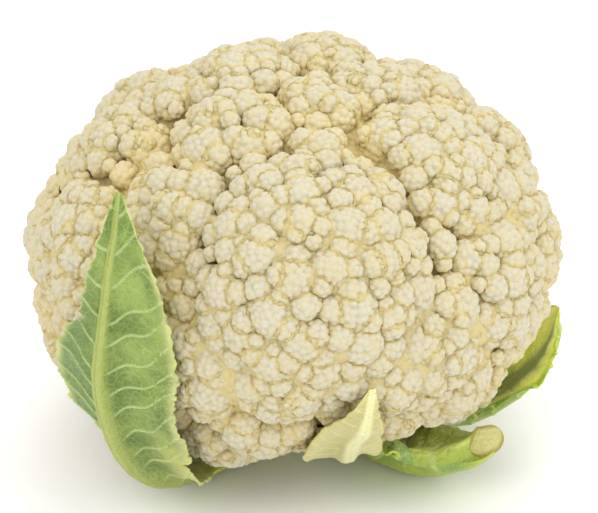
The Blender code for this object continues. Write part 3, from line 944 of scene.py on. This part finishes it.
def stalk_piece():
    """The stalk in fine detail: a ribbed stem, cut flat below, that spreads into branches."""
    rows, columns = STALK_GRID
    line = np.array(
        [(reach, stalk_height(reach) - STALK_GAP) for reach in (0.0, 0.030, STALK_FLARE)]
        + [(STALK_FLARE, stalk_height(STALK_FLARE) - FLARE_EDGE), *STALK_SIDE]
        + [(STALK_RADIUS + STALK_BEVEL, STALK_NECK), (STALK_RADIUS, STALK_NECK * 0.5)]
        + [(STALK_RADIUS, STALK_BEVEL), (STALK_RADIUS - STALK_BEVEL, 0.0), (0.0, 0.0)]
    )
    steps = np.concatenate(([0.0], np.cumsum(np.linalg.norm(np.diff(line, axis=0), axis=1))))
    at = np.linspace(0, steps[-1], rows)
    reach, height = (np.repeat(np.interp(at, steps, line[:, k])[:, None], columns, 1) for k in (0, 1))
    angle = np.linspace(0, 2 * math.pi, columns + 1)[:-1]
    turn = np.repeat(angle[None], rows, 0)
    side = (height > 0.0006) & (height < stalk_height(reach) - STALK_GAP * 1.5)
    spread = np.clip((reach - STALK_RADIUS) / (STALK_FLARE - STALK_RADIUS), 0, 1)
    rib = 0.5 + 0.5 * np.cos(STALK_BRANCHES * turn)
    rise = np.sin(math.pi * np.minimum(1.0, 0.15 + 0.6 * spread))
    height = height - side * STALK_RIB * rib * rise * (spread > 0.1)
    groove = sum(depth * np.sin(count * turn + sway * np.sin(2 * turn)) for depth, count, sway in GROOVES)
    reach = reach - side * (0.0004 + groove) * np.clip(height / 0.002, 0, 1)
    places = np.stack((reach * np.cos(turn), reach * np.sin(turn), height), -1)
    index = np.arange(rows * columns).reshape(rows, columns)
    quads = grid_faces(np.concatenate((index, index[:, :1]), 1))
    round_share = angle / (2 * math.pi) * (columns - 1) / columns
    maps = map_grid(0.01 + 0.98 * round_share, np.linspace(0.01, 0.99, rows))
    values = {"cut": (height < 0.0005).ravel(), "reach": reach.ravel(), "spread": spread.ravel()}
    return mesh_piece("stalk_fine", places.reshape(-1, 3), quads[:, ::-1], maps, values)


def fork_pieces():
    """Short branches that run from the stalk's ribs under the florets, joined in one piece."""
    places, quads, maps, values = [], [], [], []
    rng = np.random.default_rng(SEED + 5)
    rows, columns = FORK_GRID
    count = STALK_BRANCHES * 2
    t = np.linspace(0, 1, rows)[:, None]
    round_turn = np.linspace(0, 2 * math.pi, columns)[None, :, None]
    for number in range(count):
        way = 1 if number % 2 else -1
        angle = 2 * math.pi / STALK_BRANCHES * (number // 2) + math.radians(FORK_SPLIT * way)
        along = angle + math.radians(rng.uniform(1, 6) * way) * t
        reach = FORK_START + (rng.uniform(*FORK_END) - FORK_START) * t
        height = stalk_height(reach) - 0.0022 + 0.003 * t
        middle = np.concatenate((reach * np.cos(along), reach * np.sin(along), height), 1)
        tangent = np.gradient(middle, axis=0)
        tangent /= np.linalg.norm(tangent, axis=1)[:, None]
        side = np.cross(tangent, (0.0, 0.0, 1.0))
        up = np.cross(side, tangent)
        ring = side[:, None] * np.cos(round_turn) + up[:, None] * np.sin(round_turn)
        tube = middle[:, None] + ring * FORK_RADIUS * (1.0 - 0.25 * t[..., None])
        index = np.arange(rows * columns) + number * rows * columns
        quads.append(grid_faces(index.reshape(rows, columns)))
        places.append(tube.reshape(-1, 3))
        band = (number + np.linspace(0.05, 0.95, rows)) / count
        maps.append(map_grid(np.linspace(0.02, 0.98, columns), band))
        values.append(np.repeat(0.6 + 0.4 * t, columns, 1).ravel())
    share = np.concatenate(values)
    named = {"cut": share * 0, "reach": share, "spread": share}
    return mesh_piece("stalk_forks", np.vstack(places), np.vstack(quads), np.vstack(maps), named)


def widen(grid, pick):
    """Each place of a grid takes the largest or smallest value near it; its columns run round."""
    for axis in (0, 1):
        edge = "edge" if axis == 0 else "wrap"
        pad = [(0, 0), (0, 0)]
        pad[axis] = (CORE_CLOSE, CORE_CLOSE)
        wide = np.pad(grid, pad, mode=edge)
        count = grid.shape[axis]
        grid = pick([np.take(wide, range(i, i + count), axis) for i in range(2 * CORE_CLOSE + 1)], axis=0)
    return grid


def close_gaps(reach):
    """Fills the narrow gaps of a grid of distances and softens the fill."""
    closed = widen(widen(reach[:, :-1], np.max), np.min)
    padded = np.pad(closed, ((1, 1), (0, 0)), mode="edge")
    padded = np.pad(padded, ((0, 0), (1, 1)), mode="wrap")
    high, wide = closed.shape
    soft = sum(padded[i : i + high, j : j + wide] for i in range(3) for j in range(3)) / 9
    return np.concatenate((soft, soft[:, :1]), 1)


def sunk_share(reach, rays):
    """How deep places along unit rays lie under the smooth outline, from 0 to 1."""
    return np.clip((outline(rays) + PROUD_LEAST - reach) / SUNK_SHADE_DEPTH, 0.0, 1.0)


def core_piece(lobes, sizes):
    """The head's closed inside, seen only deep between the knobs and as the hollow underside."""
    high, wide = CORE_GRID
    polar = np.linspace(0.002, math.pi - 0.002, high + 1)
    turn = np.linspace(0, 2 * math.pi, wide + 1)
    p, t = np.meshgrid(polar, turn, indexing="ij")
    rays = np.stack((np.sin(p) * np.cos(t), np.sin(p) * np.sin(t), np.cos(p)), -1).reshape(-1, 3)
    parts = np.array_split(rays, CORE_PARTS)
    reach = np.concatenate([head_reach(part, lobes, sizes - CORE_SHRINK) for part in parts])
    floor = np.where(rays[:, 2] > DISH_BELOW, outline(rays) - CORE_FLOOR, 0.0)
    reach = close_gaps(np.maximum(reach, floor).reshape(high + 1, wide + 1)).ravel()
    quads = grid_faces(np.arange((high + 1) * (wide + 1)).reshape(high + 1, wide + 1))
    maps = map_grid(0.005 + 0.99 * turn / (2 * math.pi), 0.005 + 0.99 * polar / math.pi)
    dish_reach = from_axis(rays * underside(rays)[:, None])
    hollow = (rays[:, 2] < DISH_BELOW) & (dish_reach < UNDERSIDE_HALF_WIDTH + CORE_RIM)
    # Painted shade: the core, seen deep between the knobs, takes strong tan and ochre; the hollow underside
    # takes little
    valley = np.where(hollow, 0.1, np.maximum(sunk_share(reach, rays), 0.35))
    values = {"crease_shade": np.where(hollow, 0.25, 0.9), "valley": valley}
    return mesh_piece("curd_core", rays * reach[:, None] + HEAD_CENTRE, quads, maps, values)


def kept_cells(steps, kept):
    """Faces of a square grid that touch a kept point, and the numbers of the points they use."""
    side = steps + 1
    cells = grid_faces(np.arange(side * side).reshape(side, side))
    cells = cells[kept[cells].any(axis=1)]
    used = np.unique(cells)
    renumber = np.zeros(side * side, int)
    renumber[used] = np.arange(len(used))
    return renumber[cells], used


def head_pieces(florets, lobes, sizes, parents, rng):
    """Builds the skins of all lobes, joined by sector, with their map and the depth of their creases and
    hollows, kept as painted shade.
    """
    domes = np.array([f[0] for f in florets])
    ups = lobes - domes[parents]
    ups /= np.linalg.norm(ups, axis=1)[:, None]
    spread = np.linalg.norm(lobes[:, None] - lobes[None], axis=2)
    turn = np.arctan2(lobes[:, 0], -lobes[:, 1])
    made = []
    for number, members in enumerate(np.array_split(np.argsort(turn, kind="stable"), SECTORS)):
        grid = int(math.ceil(math.sqrt(len(members))))
        places, quads, maps, creases, valleys, start = [], [], [], [], [], 0
        for order, index in enumerate(members):
            size = sizes[index]
            near = np.flatnonzero((spread[index] < sizes + size) & (np.arange(len(sizes)) != index))
            points, steps, spots, crease_shade, gap = cap_of(
                lobes[index], size, ups[index], lobes[near], sizes[near], rng
            )
            cells, used = kept_cells(steps, gap > -(BURIED + KNOB_FLOOR))
            quads.append(cells + start)
            start += len(used)
            points = points[used]
            places.append(points)
            middle = np.array((order % grid, order // grid)) + 0.5
            maps.append((middle + MAP_INSET * spots[used]) / grid)
            creases.append(crease_shade[used])
            # Painted shade: how deep each point sinks under the outline, for the ochre of the hollows
            reach = np.linalg.norm(points, axis=1)
            valleys.append(sunk_share(reach, points / reach[:, None]))
        made.append(
            mesh_piece(
                f"curd_florets_{number + 1:02d}",
                np.vstack(places) + HEAD_CENTRE,
                np.vstack(quads),
                np.vstack(maps),
                {"crease_shade": np.concatenate(creases), "valley": np.concatenate(valleys)},
            )
        )
    return made


def mesh_piece(name, places, quads, maps, values):
    """An object from arrays of places and four-cornered faces, with its map and named values."""
    mesh = bpy.data.meshes.new(name)
    mesh.vertices.add(len(places))
    mesh.vertices.foreach_set("co", np.ascontiguousarray(places, np.float32).ravel())
    mesh.loops.add(quads.size)
    mesh.loops.foreach_set("vertex_index", np.ascontiguousarray(quads, np.int32).ravel())
    mesh.polygons.add(len(quads))
    mesh.polygons.foreach_set("loop_start", np.arange(0, quads.size, 4, dtype=np.int32))
    mesh.update(calc_edges=True)
    layer = mesh.uv_layers.new(name="OFBake")
    layer.data.foreach_set("uv", np.ascontiguousarray(maps[quads.ravel()], np.float32).ravel())
    for key, data in values.items():
        attribute = mesh.attributes.new(key, "FLOAT", "POINT")
        attribute.data.foreach_set("value", np.ascontiguousarray(data, np.float32))
    mesh.polygons.foreach_set("use_smooth", np.ones(len(quads), bool))
    mesh.validate()
    obj = bpy.data.objects.new(name, mesh)
    bpy.context.scene.collection.objects.link(obj)
    return obj


class Nodes:
    """A short way to add and join the nodes of a material."""

    def __init__(self, name):
        self.material = bpy.data.materials.new(name)
        self.material.use_nodes = True
        self.tree = self.material.node_tree
        self.shader = self.tree.nodes["Principled BSDF"]

    def add(self, kind, **settings):
        """A new node with its properties set; inputs are given as a dictionary."""
        inputs = settings.pop("inputs", {})
        node = self.tree.nodes.new(kind)
        for key, value in settings.items():
            setattr(node, key, value)
        for key, value in inputs.items():
            self.put(value, node.inputs[key])
        return node

    def put(self, value, socket):
        """Joins an output to the socket, or sets the socket to a plain value."""
        if isinstance(value, bpy.types.NodeSocket):
            self.tree.links.new(value, socket)
        else:
            socket.default_value = value

    def value(self, name):
        """The named value stored on the mesh."""
        return self.add("ShaderNodeAttribute", attribute_name=name).outputs["Fac"]

    def place(self):
        """Places in metres."""
        return self.add("ShaderNodeTexCoord").outputs["Object"]

    def noise(self, scale, detail=3.0):
        """Soft noise from 0 to 1 with this many blobs a metre."""
        inputs = {"Vector": self.place(), "Scale": scale, "Detail": detail, "Roughness": 0.55}
        return self.add("ShaderNodeTexNoise", inputs=inputs).outputs["Fac"]

    def streaks(self, value, scale):
        """Noise from 0 to 1 along one stored value, for fibres."""
        inputs = {"W": self.times(value, scale), "Scale": 1.0}
        return self.add("ShaderNodeTexNoise", noise_dimensions="1D", inputs=inputs).outputs["Fac"]

    def cells(self, scale, feature="F1"):
        """Distance to the nearest cell's middle or edge, with this many cells a metre."""
        inputs = {"Vector": self.place(), "Scale": scale}
        return self.add("ShaderNodeTexVoronoi", feature=feature, inputs=inputs).outputs["Distance"]

    def spread(self, value, low, high, to_low=0.0, to_high=1.0):
        """The value moved from one range to another and kept inside it."""
        inputs = {"Value": value, "From Min": low, "From Max": high, "To Min": to_low, "To Max": to_high}
        node = self.add("ShaderNodeMapRange", interpolation_type="SMOOTHSTEP", inputs=inputs)
        return node.outputs["Result"]

    def math(self, operation, first, second=0.0):
        """One sum of two values."""
        return self.add("ShaderNodeMath", operation=operation, inputs={0: first, 1: second}).outputs[0]

    def times(self, first, second):
        """The product of two values."""
        return self.math("MULTIPLY", first, second)

    def mix(self, share, first, second):
        """One colour turning to another as share goes from 0 to 1."""
        a, b = (c if isinstance(c, bpy.types.NodeSocket) else (*c, 1.0) for c in (first, second))
        inputs = {"Factor": share, MIX_COLOURS[0]: a, MIX_COLOURS[1]: b}
        return self.add("ShaderNodeMix", data_type="RGBA", inputs=inputs).outputs[MIX_RESULT]

    def bump(self, height, distance, below=None):
        """A relief of this many metres on top of another relief."""
        inputs = {"Height": height, "Distance": distance, "Strength": 1.0}
        if below is not None:
            inputs["Normal"] = below
        return self.add("ShaderNodeBump", inputs=inputs).outputs["Normal"]

    def skin(self, inputs):
        """Sets or joins the inputs of the material's shader, and gives the material."""
        for key, value in inputs.items():
            self.put(value, self.shader.inputs[key])
        return self.material


def curd_material():
    """Matt ivory curd: paler on the knobs, with painted shade in tan in the creases and in ochre in deep
    hollows, with granules, faint blotches and specks.
    """
    n = Nodes("curd_ivory")
    crease_shade, valley = n.value("crease_shade"), n.value("valley")
    bud, grain = n.cells(760.0, "SMOOTH_F1"), n.cells(1500.0, "SMOOTH_F1")
    pale = n.mix(n.spread(n.noise(38.0), 0.38, 0.66), CURD_CREAM, CURD_IVORY)
    # Painted shade: tan at the rims of the granule cells, where granules meet
    gap = n.times(n.spread(bud, 0.30, 0.62), n.spread(n.noise(130.0), 0.30, 0.62, 0.25, 1.0))
    colour = n.mix(n.times(gap, 0.22), pale, CURD_TAN_SHADE)
    # Painted shade: tan along creases, then ochre in the hollows deep under the outline
    colour = n.mix(n.spread(crease_shade, 0.30, 1.0, 0.0, 0.80), colour, CURD_TAN_SHADE)
    colour = n.mix(n.spread(valley, 0.30, 1.0, 0.0, 0.68), colour, CURD_OCHRE_SHADE)
    blotch = n.times(n.spread(n.noise(62.0), 0.58, 0.76), n.spread(n.noise(420.0), 0.35, 0.65))
    colour = n.mix(n.times(blotch, 0.30), colour, CURD_BLOTCH)
    speck = n.times(n.spread(n.cells(330.0), 0.16, 0.05), n.spread(n.noise(110.0), 0.54, 0.62))
    colour = n.mix(n.times(speck, 0.40), colour, CURD_SPECK)
    pits = n.spread(n.cells(330.0, "SMOOTH_F1"), 0.66, 0.05)
    deep = n.times(pits, n.spread(crease_shade, 0.84, 0.90))
    relief = n.bump(deep, 0.0011)
    relief = n.bump(n.spread(bud, 0.62, 0.05), 0.00010, below=relief)
    relief = n.bump(n.spread(grain, 0.60, 0.05), 0.00006, below=relief)
    relief = n.bump(n.noise(2600.0, 2.0), 0.00004, below=relief)
    return n.skin(
        {
            "Base Color": colour,
            "Roughness": n.spread(n.noise(300.0), 0.3, 0.7, 0.52, 0.68),
            "Specular IOR Level": 0.30,
            "Subsurface Weight": 0.20,
            "Subsurface Radius": (1.0, 0.92, 0.75),
            "Subsurface Scale": 0.0012,
            "Normal": relief,
        }
    )


def leaf_material(name, look):
    """A leaf's skin: mottled blade, paler network, veins, rib and edge, and a cut end with its ring."""
    n = Nodes(name)
    rib, vein, edge, along = n.value("rib"), n.value("vein"), n.value("edge"), n.value("along")
    net, fine = n.cells(380.0, "DISTANCE_TO_EDGE"), n.cells(980.0, "DISTANCE_TO_EDGE")
    net_line, fine_line = n.spread(net, 0.11, 0.015), n.spread(fine, 0.13, 0.02)
    lines = n.math("MAXIMUM", n.times(net_line, 0.34), n.times(fine_line, 0.18))
    blade = n.mix(n.spread(n.noise(58.0, 5.0), 0.34, 0.68), look["dark"], look["light"])
    # The inner face takes the look's inside colour: its own paler tone, brightened on some looks as painted
    # light where the head shades it
    inner = n.mix(n.spread(n.noise(70.0, 4.0), 0.3, 0.7, 0.78, 1.0), blade, look["inside"])
    # Bluish and darker toward the left edge: the leaf's own bluish tone with painted shade on that half
    blade = n.mix(n.spread(n.value("offset"), -0.003, -0.012, 0.0, 0.75), blade, look["left"])
    blade = n.mix(n.value("inside"), blade, inner)
    blade = n.mix(lines, blade, look["net"])
    warm = n.times(n.spread(n.value("offset"), 0.006, 0.020), n.spread(along, 0.58, 0.38))
    warm = n.times(warm, n.spread(n.noise(70.0), 0.25, 0.60, 0.45, 1.0))
    blade = n.mix(warm, blade, look["warm"])
    rim = n.times(n.spread(edge, 0.80, 0.97), n.spread(n.noise(90.0), 0.25, 0.60, 0.45, 0.95))
    blade = n.mix(rim, blade, look["edge"])
    blade = n.mix(n.spread(along, 0.42, 0.10), blade, look["base"])
    colour = n.mix(n.spread(vein, 0.18, 0.85, 0.0, 0.70), blade, look["vein"])
    streak = n.streaks(n.value("offset"), 1500.0)
    ribbed = n.mix(n.spread(streak, 0.3, 0.7, 0.0, 0.45), look["rib"], look["vein"])
    colour = n.mix(n.spread(rib, 0.12, 0.75, 0.0, 0.95), colour, ribbed)
    freckle = n.times(n.spread(n.cells(210.0), 0.13, 0.05), n.spread(n.noise(60.0), 0.55, 0.62))
    colour = n.mix(n.times(freckle, 0.35), colour, CUT_RING)
    cut = n.value("cut")
    face = n.mix(n.spread(cut, 0.40, 0.85), CUT_RING, CUT_FACE)
    face = n.mix(n.spread(n.cells(700.0), 0.22, 0.08, 0.0, 0.55), face, CUT_RING)
    colour = n.mix(n.spread(cut, 0.04, 0.20), colour, face)
    relief = n.bump(n.spread(net, 0.0, 0.30), 0.00022)
    relief = n.bump(n.spread(fine, 0.0, 0.30), 0.00007, below=relief)
    relief = n.bump(n.times(streak, rib), 0.00025, below=relief)
    return n.skin(
        {
            "Base Color": colour,
            "Roughness": n.spread(n.noise(260.0), 0.3, 0.7, 0.40, 0.55),
            "Specular IOR Level": 0.42,
            "Subsurface Weight": 0.60,
            "Subsurface Radius": (0.85, 1.0, 0.22),
            "Subsurface Scale": look["depth"],
            "Normal": relief,
        }
    )


def stalk_material():
    """The stalk's skin, pale under the florets and greener below, and the fibrous cut face."""
    n = Nodes("stalk_skin")
    reach, cut = n.value("reach"), n.value("cut")
    colour = n.mix(n.spread(n.noise(60.0, 4.0), 0.35, 0.68), STALK_GREEN, STALK_PALE)
    colour = n.mix(n.spread(n.value("spread"), 0.2, 0.9, 0.0, 0.7), colour, STALK_PALE)
    scar = n.times(n.spread(n.noise(180.0, 4.0), 0.62, 0.72), 0.5)
    colour = n.mix(scar, colour, CUT_RING)
    ring = n.spread(n.math("ABSOLUTE", n.math("SUBTRACT", reach, STALK_RADIUS - 0.0035)), 0.0016, 0.0004)
    face = n.mix(n.spread(n.noise(240.0, 3.0), 0.35, 0.65), CUT_FACE, STALK_PALE)
    face = n.mix(n.times(ring, n.spread(n.noise(420.0), 0.38, 0.60, 0.35, 1.0)), face, CUT_RING)
    face = n.mix(n.spread(n.cells(620.0), 0.20, 0.08, 0.0, 0.35), face, CUT_RING)
    colour = n.mix(cut, colour, face)
    rough = n.spread(n.noise(220.0), 0.3, 0.7, 0.48, 0.66)
    relief = n.bump(n.noise(420.0, 4.0), 0.0004)
    relief = n.bump(n.noise(2200.0, 2.0), 0.0001, below=relief)
    return n.skin({"Base Color": colour, "Roughness": rough, "Normal": relief})


def dress(piece, material, node):
    """Gives a piece its material and its place in the part."""
    piece.data.materials.append(material)
    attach(piece, "root")
    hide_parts(node)


def main():
    """Dresses the head, sets the camera, floor and lights."""
    rng = np.random.default_rng(SEED)
    florets = grow_florets(rng)
    lobes, sizes, parents = grow_lobes(florets, rng)
    all_lobes, all_sizes, all_parents = fill_lobes(florets, lobes, sizes, parents, rng)
    curd = curd_material()
    for piece in head_pieces(florets, all_lobes, all_sizes, all_parents, rng):
        dress(piece, curd, "curd")
    dress(core_piece(lobes, sizes), curd, "curd")
    looks = {
        "leaf_left": ("leaf_green", GREEN_LOOK, "leaf"),
        "leaf_front_small": ("leaf_cream", PALE_LOOK, "leaf_pale"),
        "leaf_right_front": ("leaf_vivid", VIVID_LOOK, "leaf"),
        "leaf_right_side": ("leaf_rim", RIM_LOOK, "leaf"),
        "leaf_back_right": ("leaf_green", GREEN_LOOK, "leaf"),
        "leaf_back_left": ("leaf_green", GREEN_LOOK, "leaf"),
    }
    made = {}
    for node, (name, look, slot) in looks.items():
        if name not in made:
            made[name] = leaf_material(name, look)
        style = {**PLAIN_STYLE, **LEAF_STYLES[node]}
        piece = leaf_piece(node + "_fine", LEAF_PATHS[node], style, lobes, sizes)
        dress(piece, made[name], node)
    stalk = stalk_material()
    dress(stalk_piece(), stalk, "stalk")
    dress(fork_pieces(), stalk, "stalk")
    add_camera()
    add_stage()


def add_camera():
    """The camera of the photograph: 25 degrees above the table, 0.85 m away."""
    data = bpy.data.cameras.new("camera")
    camera = bpy.data.objects.new("camera", data)
    bpy.context.scene.collection.objects.link(camera)
    rise = math.radians(CAMERA_RISE)
    camera.location = Vector(HEAD_CENTRE) + CAMERA_AWAY * Vector((0.0, -math.cos(rise), math.sin(rise)))
    camera.rotation_euler = (math.pi / 2 - rise, 0.0, 0.0)
    data.sensor_width = 36.0
    data.lens = CAMERA_LENS
    data.shift_x, data.shift_y = CAMERA_SHIFT
    data.clip_start = 0.01
    bpy.context.scene.camera = camera


def add_stage():
    """A pale floor, soft lights and a pale surrounding."""
    mesh = bpy.data.meshes.new("floor")
    half = FLOOR_HALF
    corners = [(-half, -half, 0), (half, -half, 0), (half, half, 0), (-half, half, 0)]
    mesh.from_pydata(corners, [], [(0, 1, 2, 3)])
    floor = bpy.data.objects.new("floor", mesh)
    bpy.context.scene.collection.objects.link(floor)
    n = Nodes("floor_paper")
    white = n.mix(n.noise(6.0), *FLOOR_WHITE)
    mesh.materials.append(n.skin({"Base Color": white, "Roughness": 0.8, "Specular IOR Level": 0.1}))
    world = bpy.data.worlds.new("surround")
    world.use_nodes = True
    background = world.node_tree.nodes["Background"]
    background.inputs["Color"].default_value = (1.0, 1.0, 1.0, 1.0)
    background.inputs["Strength"].default_value = WORLD_LIGHT
    bpy.context.scene.world = world
    aim = Vector(AIM)
    for name, place, size, power in LIGHTS:
        data = bpy.data.lights.new(name, "AREA")
        data.shape = "SQUARE"
        data.size = size
        data.energy = power
        light = bpy.data.objects.new(name, data)
        bpy.context.scene.collection.objects.link(light)
        light.location = place
        light.rotation_euler = (aim - Vector(place)).to_track_quat("-Z", "Y").to_euler()
    bpy.context.scene.view_settings.view_transform = "Standard"


main()
